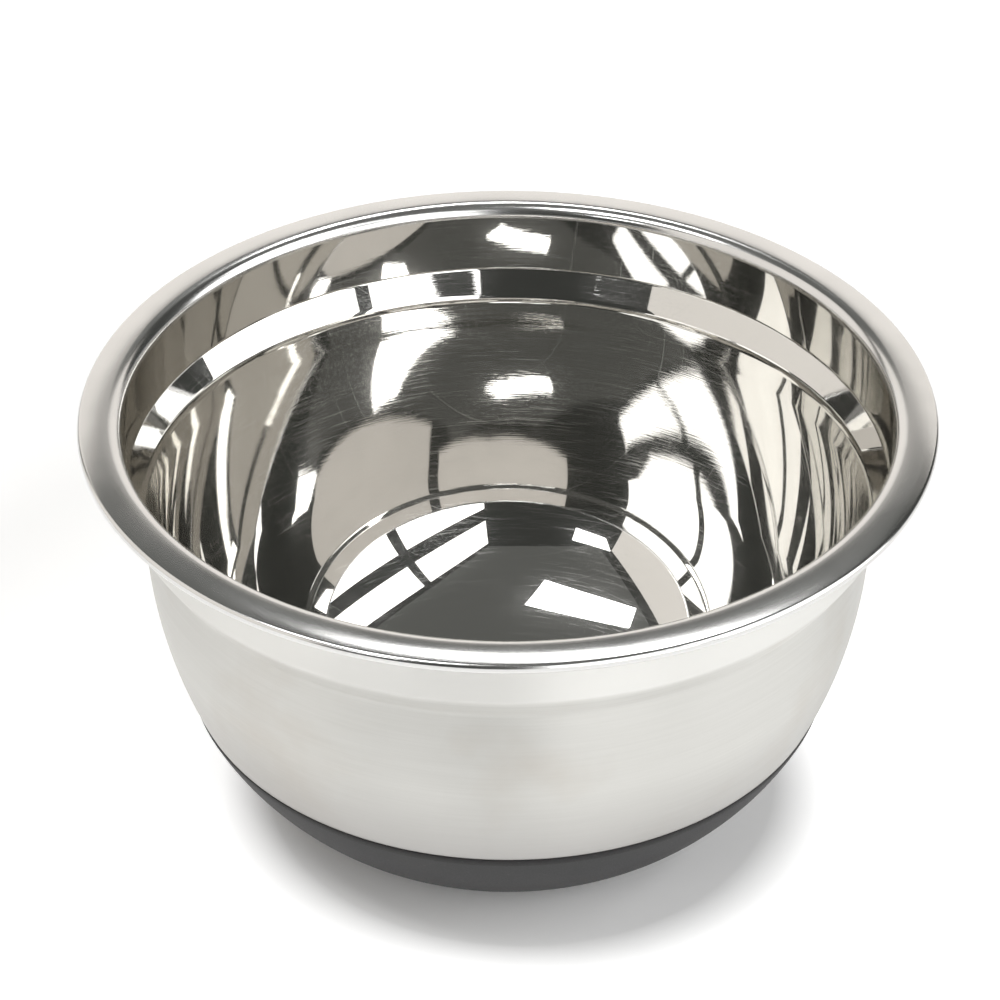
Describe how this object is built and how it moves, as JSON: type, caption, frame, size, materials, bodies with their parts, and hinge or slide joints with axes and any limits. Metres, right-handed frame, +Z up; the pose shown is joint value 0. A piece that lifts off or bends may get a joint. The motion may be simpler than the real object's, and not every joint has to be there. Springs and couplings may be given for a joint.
{
  "type": "mixing bowl",
  "caption": "Round stainless steel mixing bowl with a stepped wall, a flat rolled rim and a bonded non-slip silicone base, for mixing and holding food.",
  "frame": {"origin": "centre of the standing face, on the surface that the bowl stands on", "axes": "+Z up along the bowl's axis, out of its mouth; X and Y are any two level directions"},
  "size_m": [0.23, 0.23, 0.125],
  "materials": {
    "steel": "mirror polished inside, satin rim, brushed round the outside",
    "silicone": "matte dark grey moulded silicone",
    "adhesive": "cured translucent film, hidden"
  },
  "bodies": {
    "root": {"bowl_shell": "steel", "silicone_base": "silicone", "bond_layer": "adhesive"}
  },
  "joints": []
}
